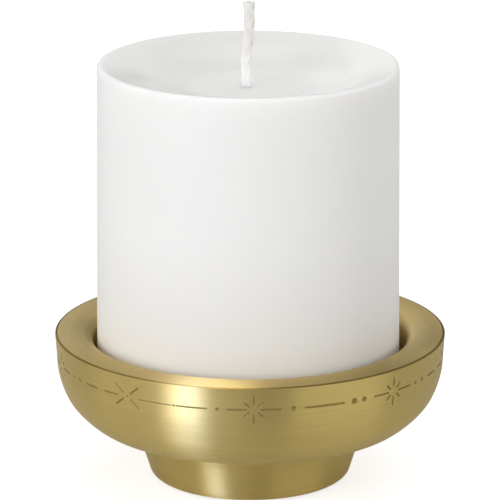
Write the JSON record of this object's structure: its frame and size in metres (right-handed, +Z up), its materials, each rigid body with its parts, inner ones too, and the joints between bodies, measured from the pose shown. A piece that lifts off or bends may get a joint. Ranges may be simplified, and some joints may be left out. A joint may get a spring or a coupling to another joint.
{
  "type": "candle holder",
  "caption": "Footed round brass candle holder with a flat ring, a recess and an engraved band, holding a white pillar candle that lifts out.",
  "frame": {"origin": "on the table, under the middle of the foot", "axes": "+Z up along the axis of the holder and the candle; the picture looks along +Y"},
  "size_m": [0.089, 0.089, 0.1109],
  "materials": {
    "brushed_brass": "brushed round the axis, lacquered",
    "white_wax": "smooth white paraffin wax",
    "cotton": "braided cotton, waxed",
    "tinplate": "bright tinplate",
    "zinc_steel": "zinc plated",
    "felt": "pressed wool felt"
  },
  "bodies": {
    "holder": {"outer_bowl": "brushed_brass", "candle_cup": "brushed_brass", "foot": "brushed_brass", "clamp_post": "brushed_brass", "clamp_washer": "zinc_steel", "clamp_screw": "zinc_steel", "felt_ring": "felt"},
    "candle": {"candle_wax": "white_wax", "wick": "cotton", "wick_sustainer": "tinplate"}
  },
  "joints": [
    {"name": "candle_lift", "type": "slide", "parent": "holder", "child": "candle", "axis": [0, 0, 1], "range_m": [0, 0.05]}
  ]
}
